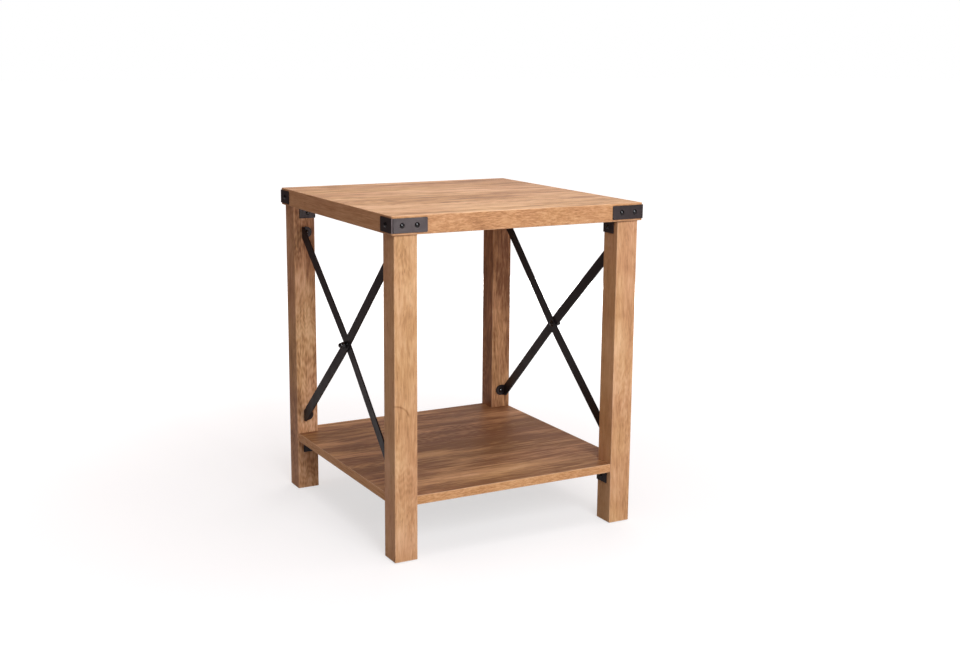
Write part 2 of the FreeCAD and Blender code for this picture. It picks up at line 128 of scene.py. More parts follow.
def make_oak_figure():
    """Oak-look figure from noise stretched along X and swayed across it, each layer about zero: clouds, bands, streaks,
    short flecks, bars and ripples across the grain (a ripple is a sine along it, bent by noise, where a slow noise is
    high), a slow change of warmth, and pores from 0 to 1, which crowd on the dark streaks."""
    group, entry, leave = start_group(
        "oak_figure",
        [("Grain", "NodeSocketVector", (0, 0, 0)), ("Seed", "NodeSocketFloat", 0.0)],
        ["Cloud", "Band", "Streak", "Fleck", "Bar", "Ripple", "Warmth", "Pore"])
    grain = entry["Grain"]

    def layer(vector, name):
        step, along, across, detail, roughness = FIGURE_LAYERS[name]
        scaled = sum_vectors(group, "MULTIPLY", vector, (along, across, across))
        seed = sum_up(group, "ADD", entry["Seed"], step)
        feeds = {"Vector": scaled, "W": seed, "Scale": 1.0, "Detail": detail, "Roughness": roughness}
        noise = add_node(group, "ShaderNodeTexNoise", feeds, noise_dimensions="4D").outputs[0]
        return sum_up(group, "SUBTRACT", noise, 0.5)

    quick_push = sum_up(group, "MULTIPLY", layer(grain, "Quick"), SWAY_QUICK)
    push = sum_up(group, "MULTIPLY_ADD", layer(grain, "Slow"), SWAY_SLOW, quick_push)
    swayed = sum_vectors(group, "ADD", grain, join_axes(group, 0.0, push, push))
    figure = {name: layer(swayed, name) for name in ("Cloud", "Band", "Streak", "Fleck", "Warmth")}
    figure["Bar"] = layer(grain, "Bar")
    bend = sum_up(group, "MULTIPLY", layer(swayed, "Bend"), RIPPLE_BEND)
    wave = sum_up(group, "SINE", sum_up(group, "MULTIPLY_ADD", split_axes(group, grain)["X"], RIPPLE_PITCH, bend))
    flame = ramp_between(group, layer(swayed, "Flame"), *FLAME_SPAN)
    figure["Ripple"] = sum_up(group, "MULTIPLY", wave, flame)
    pored = ramp_between(group, layer(swayed, "Pore"), *PORE_SPAN)
    crowd = ramp_between(group, figure["Streak"], *CROWD_SPAN, 1.0, FEWEST_PORES)
    figure["Pore"] = sum_up(group, "MULTIPLY", pored, crowd)
    for name, value in figure.items():
        group.links.new(value, leave[name])
    return group


def make_edge_highlight_mask():
    """Mask of a box's edges for painted highlights along them: the second smallest distance to its faces, faded out
    over the reach.
    """
    group, entry, leave = start_group(
        "edge_highlight_mask",
        [("Vector", "NodeSocketVector", (0, 0, 0)), ("Half Size", "NodeSocketVector", (1, 1, 1)),
         ("Reach", "NodeSocketFloat", 0.001)],
        ["Edge"])
    size = sum_vectors(group, "ABSOLUTE", entry["Vector"])
    apart = split_axes(group, sum_vectors(group, "SUBTRACT", entry["Half Size"], size))
    nearer = sum_up(group, "MINIMUM", apart["X"], apart["Y"])
    farther = sum_up(group, "MAXIMUM", apart["X"], apart["Y"])
    second = sum_up(group, "MAXIMUM", nearer, sum_up(group, "MINIMUM", farther, apart["Z"]))
    share = sum_up(group, "DIVIDE", second, entry["Reach"])
    group.links.new(ramp_between(group, share, 0.0, 1.0, 1.0, 0.0), leave["Edge"])
    return group


oak_figure = make_oak_figure()
edge_highlight_mask = make_edge_highlight_mask()


def place_group(tree, group, feeds):
    """Outputs of a node group placed in a material, with its inputs fed."""
    return add_node(tree, "ShaderNodeGroup", feeds, node_tree=group).outputs


def start_material(name):
    """Material with nothing but its Principled shader, its tree, and that shader's inputs."""
    made = bpy.data.materials.new(name)
    made.use_nodes = True
    return made, made.node_tree, made.node_tree.nodes["Principled BSDF"].inputs


def dress(finish, *pieces):
    """Gives one finish to CAD nodes."""
    for piece in pieces:
        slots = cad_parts[piece].data.materials
        slots.clear()
        slots.append(finish)


def blend_colours(tree, share, first, second, blend="MIX"):
    """Mix of two colours by a share; a plain colour is three numbers."""
    first, second = [(*colour, 1) if isinstance(colour, tuple) else colour for colour in (first, second)]
    feeds = {0: share, 6: first, 7: second}
    return add_node(tree, "ShaderNodeMix", feeds, data_type="RGBA", blend_type=blend).outputs[2]


def roughen(tree, shader, height, strength, distance):
    """Bump of a height on a shader."""
    bump = add_node(tree, "ShaderNodeBump", {"Strength": strength, "Distance": distance, "Height": height})
    tree.links.new(bump.outputs[0], shader["Normal"])


DEEP_TONE, MIDDLE_TONE, PALE_TONE = 0.15, 0.50, 0.80
WARMTH_SPAN = 0.16
BAND_EVENNESS = 0.65
EDGE_HIGHLIGHT_STREAK = 0.9
FLECK_ROUGH, PORE_ROUGH = 0.22, 0.10
PORE_SINK = -0.5
FOIL_BUMP, FOIL_DEPTH = 0.22, 0.0005


def finish_oak(tree, shader, grain, seed, edge, look, strength, shade, band):
    """Colours an oak-look foil: the figure's layers, weighted by the look (by its edge weights on an edge band) and
    the strength, run along a ramp from deep to pale, less the shade (a growth ring, painted shade, and painted light on
    side bands); then come warmth, pores, the tint of an edge band and a painted highlight along the edges."""
    figure = place_group(tree, oak_figure, {"Grain": grain, "Seed": seed})
    mixed = 0.0
    for layer, edge_weight in look["edge_weights"].items():
        weight = pick(tree, band, look[layer], edge_weight)
        mixed = sum_up(tree, "MULTIPLY_ADD", figure[layer], weight, mixed)
    base_tone = pick(tree, band, look["tone"], look["edge_tone"])
    tone = sum_up(tree, "SUBTRACT", sum_up(tree, "MULTIPLY_ADD", mixed, strength, base_tone), shade)
    ramp = add_node(tree, "ShaderNodeValToRGB", {0: tone})
    stops = ramp.color_ramp.elements
    stops[0].position, stops[0].color = DEEP_TONE, (*look["deep"], 1)
    stops[1].position, stops[1].color = PALE_TONE, (*look["pale"], 1)
    stops.new(MIDDLE_TONE).color = (*look["middle"], 1)

    warm = ramp_between(tree, figure["Warmth"], -WARMTH_SPAN, WARMTH_SPAN)
    evened = sum_up(tree, "MULTIPLY", band, BAND_EVENNESS)
    warmth = sum_up(tree, "MULTIPLY_ADD", sum_up(tree, "SUBTRACT", 0.5, warm), evened, warm)
    tint = blend_colours(tree, warmth, look["cool_tint"], look["warm_tint"])
    tinted = blend_colours(tree, 1.0, ramp.outputs[0], tint, "MULTIPLY")
    pored = blend_colours(tree, sum_up(tree, "MULTIPLY", figure["Pore"], look["Pore"]), tinted, look["pore_colour"])
    banded = blend_colours(tree, band, pored, look["band_tint"], "MULTIPLY")
    # Painted highlight along the eased edges, broken up by the streaks.
    edge_highlight_share = sum_up(tree, "MULTIPLY", edge, sum_up(tree, "MULTIPLY_ADD", figure["Streak"], EDGE_HIGHLIGHT_STREAK, look["edge_highlight"]))
    tree.links.new(blend_colours(tree, edge_highlight_share, banded, look["edge_highlight_colour"]), shader["Base Color"])

    rough = sum_up(tree, "MULTIPLY_ADD", figure["Fleck"], FLECK_ROUGH, look["rough"])
    tree.links.new(sum_up(tree, "MULTIPLY_ADD", figure["Pore"], PORE_ROUGH, rough), shader["Roughness"])
    height = sum_up(tree, "MULTIPLY_ADD", figure["Pore"], PORE_SINK, figure["Fleck"])
    roughen(tree, shader, height, FOIL_BUMP, FOIL_DEPTH)
    shader["Specular IOR Level"].default_value = look["gloss"]


# edge_highlight and edge_highlight_colour give the painted highlight along the edges.
oak_look = {
    "deep": (0.235, 0.105, 0.042), "middle": (0.555, 0.305, 0.142), "pale": (0.760, 0.490, 0.275),
    "cool_tint": (1.0, 1.02, 0.96), "warm_tint": (1.0, 0.97, 1.035),
    "tone": 0.50, "Cloud": 0.90, "Band": 0.50, "Bar": 0.10, "Ripple": 0.06, "Pore": 0.50,
    "edge_weights": {"Cloud": 0.30, "Band": 0.05, "Streak": 0.20, "Fleck": 0.95, "Bar": 0.06, "Ripple": 0.03},
    "edge_tone": 0.50, "band_tint": (0.965, 0.915, 0.84), "pore_colour": (0.22, 0.105, 0.045),
    "edge_highlight_colour": (0.80, 0.55, 0.35), "edge_highlight": 0.28, "rough": 0.50, "gloss": 0.20,
}
leg_look = dict(oak_look, tone=0.54, Cloud=0.70, Streak=0.62, Fleck=1.0, Bar=0.65, Ripple=0.07)

leg_oak, leg_tree, leg_shader = start_material("leg_oak")
leg_where = add_node(leg_tree, "ShaderNodeTexCoord").outputs
leg_axes = split_axes(leg_tree, leg_where["Object"])
leg_facing = split_axes(leg_tree, leg_where["Normal"])
leg_grain = join_axes(leg_tree, leg_axes["Z"], leg_axes["X"], leg_axes["Y"])
leg_depth_seed = sum_up(leg_tree, "MULTIPLY", sum_up(leg_tree, "SIGN", leg_axes["Y"]), LEG_SEEDS[1])
leg_seed = sum_up(leg_tree, "MULTIPLY_ADD", sum_up(leg_tree, "SIGN", leg_axes["X"]), LEG_SEEDS[0], leg_depth_seed)
leg_local = sum_vectors(leg_tree, "SUBTRACT", sum_vectors(leg_tree, "ABSOLUTE", leg_where["Object"]), LEG_CENTRE)
leg_edge = place_group(leg_tree, edge_highlight_mask, {"Vector": leg_local, "Half Size": LEG_HALF, "Reach": LEG_HIGHLIGHT_REACH})["Edge"]

# The front left leg has one dark growth ring on its front, a quarter ellipse that starts at the left edge.
RING_CENTRE = (-0.2255, 0.238)
RING_HALF = (0.025, 0.022)
RING_WIDTH = 0.11
HALO_RADIUS, HALO_WIDTH, HALO_SHARE = 0.92, 0.30, 0.35
RING_FADE = 0.35
LEG_FRONT = (-0.231, -0.226)
RING_SHADE = 0.19
ring_x = sum_up(leg_tree, "DIVIDE", sum_up(leg_tree, "SUBTRACT", leg_axes["X"], RING_CENTRE[0]), RING_HALF[0])
ring_z = sum_up(leg_tree, "DIVIDE", sum_up(leg_tree, "SUBTRACT", leg_axes["Z"], RING_CENTRE[1]), RING_HALF[1])
ring_squares = sum_up(leg_tree, "MULTIPLY_ADD", ring_x, ring_x, sum_up(leg_tree, "MULTIPLY", ring_z, ring_z))
ring_far = sum_up(leg_tree, "SQRT", ring_squares)
ring_line = close_to(leg_tree, ring_far, 1.0, RING_WIDTH)
ring_halo = close_to(leg_tree, ring_far, HALO_RADIUS, HALO_WIDTH, HALO_SHARE)
ring_upper = ramp_between(leg_tree, ring_z, 0.0, RING_FADE)
ring_front = ramp_between(leg_tree, leg_axes["Y"], *LEG_FRONT, 1.0, 0.0)
ring_left = sum_up(leg_tree, "LESS_THAN", leg_axes["X"], 0.0)
ring_place = sum_up(leg_tree, "MULTIPLY", sum_up(leg_tree, "MULTIPLY", ring_upper, ring_front), ring_left)
ring_dark = sum_up(leg_tree, "MULTIPLY", sum_up(leg_tree, "ADD", ring_line, ring_halo), ring_place)

# The back right leg is darker than the others, partly its own tone and partly painted shade, and painted shade alone
# makes its left face darker still; the back left leg is a little darker too, by painted shade.
BACK_LEG_PAINTED_SHADE, RIGHT_LEG_TONE_AND_PAINTED_SHADE, LEFT_FACE_TONE_AND_PAINTED_SHADE = 0.03, 0.23, 0.33
TURN_START, TURN_END = 0.6, 0.8
back_leg = sum_up(leg_tree, "GREATER_THAN", leg_axes["Y"], 0.0)
right_leg = sum_up(leg_tree, "GREATER_THAN", leg_axes["X"], 0.0)
left_face = ramp_between(leg_tree, leg_facing["X"], -TURN_END, -TURN_START, 1.0, 0.0)
right_leg_tone_and_painted_shade = pick(leg_tree, left_face, RIGHT_LEG_TONE_AND_PAINTED_SHADE, LEFT_FACE_TONE_AND_PAINTED_SHADE)
back_leg_painted_shade_sum = sum_up(leg_tree, "MULTIPLY_ADD", right_leg, right_leg_tone_and_painted_shade, BACK_LEG_PAINTED_SHADE)
back_legs_tone_and_painted_shade = sum_up(leg_tree, "MULTIPLY", back_leg, back_leg_painted_shade_sum)

# Painted shadow: a fine dark line painted where the end of a leg meets the top, for the shadow in that joint.
JOINT_START, JOINT_END, JOINT_PAINTED_SHADOW = 0.5272, 0.5290, 0.22
joint_painted_shadow = ramp_between(leg_tree, leg_axes["Z"], JOINT_START, JOINT_END)
joint_and_back_leg_painted_shade = sum_up(leg_tree, "MULTIPLY_ADD", joint_painted_shadow, JOINT_PAINTED_SHADOW, back_legs_tone_and_painted_shade)
leg_ring_and_painted_shade = sum_up(leg_tree, "MULTIPLY_ADD", ring_dark, RING_SHADE, joint_and_back_leg_painted_shade)

# The figure is stronger on the back legs and weaker on the faces that look sideways.
FRONT_STRENGTH, BACK_STRENGTH, SIDE_FACE_STRENGTH = 0.62, 1.17, 0.65
sideways_leg = sum_up(leg_tree, "ABSOLUTE", leg_facing["X"])
side_strength = ramp_between(leg_tree, sideways_leg, TURN_START, TURN_END, 1.0, SIDE_FACE_STRENGTH)
leg_strength = sum_up(leg_tree, "MULTIPLY", pick(leg_tree, back_leg, FRONT_STRENGTH, BACK_STRENGTH), side_strength)
finish_oak(leg_tree, leg_shader, leg_grain, leg_seed, leg_edge, leg_look, leg_strength, leg_ring_and_painted_shade, band=0.0)
dress(leg_oak, *("leg_" + corner for corner in CORNERS))


# Top: one thick board in the same foil, grain from left to right on its faces and along every edge band.
# It lies on the legs, held by a dowel in each and by the brackets' ears from below.
TOP_CENTRE = (0.0, 0.0, 0.545)
TOP_HALF = (0.231, 0.2375, 0.015)
TOP_SEED = 85.4
# Reach of the painted highlight along the board's edges.
PANEL_HIGHLIGHT_REACH = 0.0020
BAND_FACING, SIDE_FACING = 0.5, 0.7
FRONT_BAND_CLOSE, SIDE_BAND_CLOSE = 3.0, 0.7
BAND_FINE = 1.7
SIDE_BAND_STRENGTH = 0.80


def panel_finish(name, centre, half, seed, look):
    """Foil of a board: grain along X, but along Y on the two edge bands that face sideways. Its figure is shorter and
    finer on the front and back bands, and finer on the other two, where it is about as long as on the faces."""
    made, tree, shader = start_material(name)
    where = add_node(tree, "ShaderNodeTexCoord").outputs
    axes = split_axes(tree, where["Object"])
    facing = split_axes(tree, where["Normal"])
    band = sum_up(tree, "LESS_THAN", sum_up(tree, "ABSOLUTE", facing["Z"]), BAND_FACING)
    sideways = sum_up(tree, "GREATER_THAN", sum_up(tree, "ABSOLUTE", facing["X"]), SIDE_FACING)
    turned = join_axes(tree, axes["Y"], axes["X"], axes["Z"])
    grain = add_node(tree, "ShaderNodeMix", {0: sideways, 4: where["Object"], 5: turned}, data_type="VECTOR").outputs[1]
    close = pick(tree, band, look["close"], FRONT_BAND_CLOSE)
    along = sum_up(tree, "MULTIPLY_ADD", sideways, SIDE_BAND_CLOSE - FRONT_BAND_CLOSE, close)
    across = pick(tree, band, 1.0, BAND_FINE)
    finer = sum_vectors(tree, "MULTIPLY", grain, join_axes(tree, along, across, across))
    local = sum_vectors(tree, "SUBTRACT", where["Object"], centre)
    edge = place_group(tree, edge_highlight_mask, {"Vector": local, "Half Size": half, "Reach": PANEL_HIGHLIGHT_REACH})["Edge"]
    # Painted light on the edge bands that face sideways: the side painted shade is negative, so they come out lighter.
    shade = sum_up(tree, "MULTIPLY", sideways, look["side_painted_shade"])
    strength = pick(tree, sideways, 1.0, SIDE_BAND_STRENGTH)
    finish_oak(tree, shader, finer, seed, edge, look, strength, shade, band)
    return made


top_look = dict(oak_look, cool_tint=(1.0, 1.008, 0.985), warm_tint=(1.0, 0.97, 1.04), Band=0.65, Streak=1.0, Fleck=1.5,
                Ripple=0.08, Pore=0.42, side_painted_shade=-0.10, close=0.60)
top_oak = panel_finish("top_oak", TOP_CENTRE, TOP_HALF, TOP_SEED, top_look)
dress(top_oak, "top_panel")


# Shelf: a thinner board in the same foil with stronger dark streaks, notched round the legs.
# It rests on the ears of four brackets under it and is screwed to them from below.
SHELF_CENTRE = (0.0, 0.0, 0.1005)
SHELF_HALF = (0.224, 0.2305, 0.0075)
SHELF_SEED = 87.2

# The shelf's tone is set well below the top's: painted shade, for the shade the top casts over it.
shelf_look = dict(oak_look, tone=0.250, edge_tone=0.54, Cloud=1.10, Band=0.80, Streak=0.72, Fleck=0.90, edge_highlight=0.45,
                  gloss=0.10, side_painted_shade=-0.05, close=0.70)
shelf_oak = panel_finish("shelf_oak", SHELF_CENTRE, SHELF_HALF, SHELF_SEED, shelf_look)
dress(shelf_oak, "shelf_panel")


# Dowels: plain turned hardwood pins with the grain along them, half in each leg and half in the top.
# They keep the top from sliding on the legs, and are hidden when the table is put together.
DOWEL_SEED = 31.0
DOWEL_FLECK = 0.3
DOWEL_DEEP, DOWEL_PALE = (0.52, 0.37, 0.22), (0.72, 0.56, 0.38)
DOWEL_ROUGH = (0.55, 0.75)

dowel_wood, dowel_tree, dowel_shader = start_material("dowel_wood")
dowel_axes = split_axes(dowel_tree, add_node(dowel_tree, "ShaderNodeTexCoord").outputs["Object"])
dowel_grain = join_axes(dowel_tree, dowel_axes["Z"], dowel_axes["X"], dowel_axes["Y"])
dowel_fleck = place_group(dowel_tree, oak_figure, {"Grain": dowel_grain, "Seed": DOWEL_SEED})["Fleck"]
dowel_share = ramp_between(dowel_tree, dowel_fleck, -DOWEL_FLECK, DOWEL_FLECK)
dowel_rough = ramp_between(dowel_tree, dowel_fleck, -DOWEL_FLECK, DOWEL_FLECK, *DOWEL_ROUGH)
dowel_tree.links.new(blend_colours(dowel_tree, dowel_share, DOWEL_DEEP, DOWEL_PALE), dowel_shader["Base Color"])
dowel_tree.links.new(dowel_rough, dowel_shader["Roughness"])
dress(dowel_wood, "leg_dowels")


# Foot glides: dark moulded plastic discs with a fine pebbled skin, whose stems are pressed into the ends of the legs.
# They hold the legs just off the floor.
GLIDE_PEBBLE = 900.0
GLIDE_DEEP, GLIDE_PALE = (0.020, 0.017, 0.015), (0.055, 0.047, 0.042)
GLIDE_SPAN, GLIDE_ROUGH = (0.2, 0.8), (0.48, 0.68)
GLIDE_BUMP, SKIN_DEPTH = 0.15, 0.0002

glide_plastic, glide_tree, glide_shader = start_material("glide_plastic")
glide_place = add_node(glide_tree, "ShaderNodeTexCoord").outputs["Object"]
glide_feeds = {"Vector": glide_place, "Scale": GLIDE_PEBBLE, "Detail": 3.0}
glide_skin = add_node(glide_tree, "ShaderNodeTexNoise", glide_feeds).outputs[0]
glide_rough = ramp_between(glide_tree, glide_skin, *GLIDE_SPAN, *GLIDE_ROUGH)
glide_tree.links.new(blend_colours(glide_tree, glide_skin, GLIDE_DEEP, GLIDE_PALE), glide_shader["Base Color"])
glide_tree.links.new(glide_rough, glide_shader["Roughness"])
roughen(glide_tree, glide_shader, glide_skin, GLIDE_BUMP, SKIN_DEPTH)
dress(glide_plastic, *("foot_glide_" + corner for corner in CORNERS))


# Corner plates: thin steel strip folded round the corners of the top and powder coated satin black.
# Each is held by two dome-head screws on its long leg and one on its short leg.
# A painted highlight runs down each plate's fold round the corner, for the light the rounded bend catches.
PLATE_HALF = (0.2325, 0.239, 1.0)
FOLD_REACH = 0.0026
FOLD_HIGHLIGHT_COLOUR = (0.62, 0.53, 0.53)
LEAST_FOLD_HIGHLIGHT = 0.55
CLOUD_SCALE = 38.0
PEBBLE_SHARE, CLOUD_SHARE = 0.4, 0.6
SKIN_SPAN = (0.3, 0.7)


def make_powder_skin():
    """Powder coat: a fine pebbled height, a faint cloudiness of tone and small gloss changes."""
    group, entry, leave = start_group(
        "powder_skin",
        [("Vector", "NodeSocketVector", (0, 0, 0)), ("Pebble", "NodeSocketFloat", 1400.0)],
        ["Tone", "Height", "Gloss"])
    pebble_feeds = {"Vector": entry["Vector"], "Scale": entry["Pebble"], "Detail": 2.0}
    cloud_feeds = {"Vector": entry["Vector"], "Scale": CLOUD_SCALE, "Detail": 4.0, "Roughness": 0.6}
    pebble = add_node(group, "ShaderNodeTexNoise", pebble_feeds).outputs[0]
    cloud = add_node(group, "ShaderNodeTexNoise", cloud_feeds).outputs[0]
    cloudy = sum_up(group, "MULTIPLY", cloud, CLOUD_SHARE)
    group.links.new(sum_up(group, "MULTIPLY_ADD", pebble, PEBBLE_SHARE, cloudy), leave["Tone"])
    group.links.new(pebble, leave["Height"])
    group.links.new(ramp_between(group, cloud, *SKIN_SPAN), leave["Gloss"])
    return group


powder_skin = make_powder_skin()


def steel_finish(name, deep, pale, smooth, rough, pebble, bump, mirror=0.5, fold_box=None):
    """Black coated steel: tone between deep and pale, roughness between smooth and rough, a pebbled bump, and a painted
    highlight along the upright edges of a box, given by its centre and half size, for the light that a rounded fold
    catches."""
    made, tree, shader = start_material(name)
    where = add_node(tree, "ShaderNodeTexCoord").outputs["Object"]
    skin = place_group(tree, powder_skin, {"Vector": where, "Pebble": pebble})
    tone = blend_colours(tree, ramp_between(tree, skin["Tone"], *SKIN_SPAN), deep, pale)
    if fold_box:
        centre, half = fold_box
        local = sum_vectors(tree, "SUBTRACT", where, centre)
        edge = place_group(tree, edge_highlight_mask, {"Vector": local, "Half Size": half, "Reach": FOLD_REACH})["Edge"]
        fold_highlight_share = sum_up(tree, "MULTIPLY", edge, ramp_between(tree, skin["Gloss"], 0.0, 1.0, LEAST_FOLD_HIGHLIGHT, 1.0))
        tone = blend_colours(tree, fold_highlight_share, tone, FOLD_HIGHLIGHT_COLOUR)
    tree.links.new(tone, shader["Base Color"])
    tree.links.new(ramp_between(tree, skin["Gloss"], 0.0, 1.0, smooth, rough), shader["Roughness"])
    shader["Specular IOR Level"].default_value = mirror
    roughen(tree, shader, skin["Height"], bump, SKIN_DEPTH)
    return made


plate_steel = steel_finish("plate_steel", deep=(0.0085, 0.0052, 0.0055), pale=(0.0160, 0.0100, 0.0105), smooth=0.30,
                           rough=0.35, pebble=1300.0, bump=0.18, fold_box=(TOP_CENTRE, PLATE_HALF))
dress(plate_steel, *("corner_plate_" + corner for corner in CORNERS))

screw_black = steel_finish("screw_black", deep=(0.0045, 0.0042, 0.0046), pale=(0.008, 0.0075, 0.008), smooth=0.06,
                           rough=0.11, pebble=2500.0, bump=0.03, mirror=0.7)
dress(screw_black, "corner_plate_screws")


# Corner brackets: stamped from one sheet, two flanges round a leg's inner corner and an ear from each under the
# panel, powder coated black. Pan-head screws hold the flanges to the leg and the ears to the top or the shelf.
bracket_steel = steel_finish("bracket_steel", deep=(0.0105, 0.0068, 0.0072), pale=(0.0200, 0.0130, 0.0140), smooth=0.38,
                             rough=0.46, pebble=1300.0, bump=0.25)
dress(bracket_steel, *(panel + "_bracket_" + corner for panel in ("top", "shelf") for corner in CORNERS))


# Bracket screws: short wood screws with a domed head and a cross recess, blackened steel.
# Two of each bracket run into the leg and two up into the panel.
CROSS_ARM, CROSS_REACH, CROSS_WALL = 0.15, 0.56, 0.012
CROSS_DEPTH = 0.0013
SCREW_TURN = 2.4
SHARP_EDGE = math.radians(32)
BRACKET_CORNER = {"top": (-0.1855, -0.192, 0.530), "shelf": (-0.1855, -0.192, 0.093)}
BRACKET_SEATS = ((-0.0133, 0.0020, -0.0130), (0.0020, -0.0133, -0.0130), (-0.0133, 0.0135, -0.0020),
                 (0.0135, -0.0133, -0.0020))
BRACKET_RUNS = ((0, -1, 0), (-1, 0, 0), (0, 0, 1), (0, 0, 1))
FOUR_CORNERS = ((1, 1, 1), (-1, 1, 1), (1, -1, 1), (-1, -1, 1))


def cross_screw(head, height, shank, length, tip):
    """One screw, head upwards on z = 0. Its head is a square grid (u, v) pressed into a disc, x = u sqrt(1 - v v / 2)
    and y = v sqrt(1 - u u / 2), at the height of a ball's cap, which drops inside the cross, where one of |u|, |v| is
    under the arm and the other under the reach. From its rim, rings run to the shank, along it and to the point."""
    flat = [0.0, CROSS_ARM / 2, CROSS_ARM - CROSS_WALL, CROSS_ARM + CROSS_WALL, (CROSS_ARM + CROSS_REACH) / 2,
            CROSS_REACH - CROSS_WALL, CROSS_REACH + CROSS_WALL]
    half = np.concatenate([flat, np.linspace(CROSS_REACH, 1.0, 6)[1:]])
    line = np.concatenate([-half[:0:-1], half])
    u, v = np.meshgrid(line, line, indexing="ij")
    x, y = u * np.sqrt(1 - v * v / 2), v * np.sqrt(1 - u * u / 2)
    ball = (head * head / 4 + height * height) / (2 * height)
    rise = np.sqrt(ball * ball - head * head / 4 * (x * x + y * y)) - (ball - height)
    wide, narrow = np.maximum(abs(u), abs(v)), np.minimum(abs(u), abs(v))
    sunk = (narrow < CROSS_ARM) & (wide < CROSS_REACH)
    rise -= np.where(sunk, CROSS_DEPTH * (1 - wide / CROSS_REACH / 2), 0)
    cap = np.stack([x * head / 2, y * head / 2, rise], -1).reshape(-1, 3)
    index = np.arange(line.size * line.size).reshape(line.size, line.size)
    tiles = np.stack([index[:-1, :-1], index[1:, :-1], index[1:, 1:], index[:-1, 1:]], -1).reshape(-1, 4)
    rim = np.concatenate([index[:-1, 0], index[-1, :-1], index[:0:-1, -1], index[0, :0:-1]])
    round_way = cap[rim] * (2 / head, 2 / head, 0)
    neck = round_way * (shank / 2)
    end = neck + (0, 0, tip - length)
    points = np.concatenate([cap, neck, end, [(0, 0, -length)]])
    rings = np.stack([rim, len(cap) + np.arange(rim.size), len(cap) + rim.size + np.arange(rim.size)])
    after = np.roll(rings, -1, 1)
    walls = np.stack([rings[:-1], rings[1:], after[1:], after[:-1]], -1).reshape(-1, 4)
    point = np.stack([rings[-1], np.full(rim.size, len(points) - 1), after[-1]], -1)
    return points, np.concatenate([tiles, walls]), point


def drive_screws(name, screw, seats, runs):
    """Copies of a screw in one mesh: each has its head on a seat, runs along its way and is turned by its own angle."""
    points, quads, tips = screw
    axis = -np.asarray(runs, float)
    level = np.where(abs(axis[:, 2:]) > 0.5, (1.0, 0.0, 0.0), (0.0, 0.0, 1.0))
    first = np.cross(level, axis)
    second = np.cross(axis, first)
    angle = (np.arange(len(axis)) * SCREW_TURN)[:, None]
    across = first * np.cos(angle) + second * np.sin(angle)
    along = second * np.cos(angle) - first * np.sin(angle)
    placed = np.einsum("pk,nkc->npc", points, np.stack([across, along, axis], 1)) + np.asarray(seats)[:, None]
    step = (np.arange(len(axis)) * len(points))[:, None, None]
    faces = (quads + step).reshape(-1, 4).tolist() + (tips + step).reshape(-1, 3).tolist()
    mesh = bpy.data.meshes.new(name)
    mesh.from_pydata(placed.reshape(-1, 3).tolist(), [], faces)
    mesh.polygons.foreach_set("use_smooth", np.ones(len(faces), bool))
    mesh.set_sharp_from_angle(angle=SHARP_EDGE)
    mesh.materials.append(screw_black)
    driven = bpy.data.objects.new(name, mesh)
    bpy.context.scene.collection.objects.link(driven)
    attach(driven, "root")
    return driven


bracket_screw = cross_screw(head=0.0076, height=0.0024, shank=0.0035, length=0.012, tip=0.003)
mirrors = np.array(FOUR_CORNERS)[:, None]
runs = (mirrors * BRACKET_RUNS).reshape(-1, 3)
for panel, corner_place in BRACKET_CORNER.items():
    seats = (mirrors * np.add(corner_place, BRACKET_SEATS)).reshape(-1, 3)
    driven = drive_screws(panel + "_bracket_cross_screws", bracket_screw, seats, runs)
    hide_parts(panel + "_bracket_screws")


# Braces: flat bar folded back at both ends against the legs and dished inwards, crossed in pairs on the left and
# right, powder coated black. One screw holds each end, and a bolt with a washer and a cap nut holds each crossing.
SIDES = ("left", "right")

brace_steel = steel_finish("brace_steel", deep=(0.0085, 0.0055, 0.0060), pale=(0.0160, 0.0108, 0.0118), smooth=0.40,
                           rough=0.50, pebble=1300.0, bump=0.25, mirror=0.36)
dress(brace_steel, *("brace_%s_%s" % (side, layer) for side in SIDES for layer in ("outer", "inner")))
dress(screw_black, "brace_end_screws", "brace_bolt_washers")
dress(screw_black, *(piece + side for piece in ("brace_bolt_", "brace_cap_nut_") for side in SIDES))


# Studio: a plain pale floor that keeps the table's shadow, fading to a white background, with a dim world and softboxes
# in front, low, overhead and behind, and one that shows in reflections alone. Mirrored rays see white towards the back
# right, faintly on the floor close behind the table, and a dim room elsewhere, so that the steel stays dark.
FLOOR_REACH = 30.0
FLOOR_COLOUR, WHITE = (0.40, 0.40, 0.40, 1), (1, 1, 1, 1)
FLOOR_FADE, FLOOR_WHITE = (0.45, 1.6), 0.62
MIRROR_FADE, MIRROR_WHITE, MIRROR_BACK = (0.7, 1.4), 0.38, (-0.3, 0.3)
WORLD_COLOUR, MIRRORED_WORLD = (0.274, 0.184, 0.178, 1), 0.15
FLOOR_CORNER, WORLD_CORNER = 1.0, 0.6


def floor_sheet(reach, count):
    """Level square grid: point (i, j) lies at reach times (u, v), with u and v from -1 to 1."""
    line = np.linspace(-1.0, 1.0, count) * reach
    across, along = np.meshgrid(line, line, indexing="ij")
    points = np.stack([across, along, np.zeros_like(across)], -1).reshape(-1, 3)
    index = np.arange(count * count).reshape(count, count)
    faces = np.stack([index[:-1, :-1], index[1:, :-1], index[1:, 1:], index[:-1, 1:]], -1).reshape(-1, 4)
    sheet = bpy.data.meshes.new("studio_floor")
    sheet.from_pydata(points.tolist(), [], faces.tolist())
    return sheet


studio_floor = bpy.data.objects.new("studio_floor", floor_sheet(FLOOR_REACH, 3))
bpy.context.scene.collection.objects.link(studio_floor)


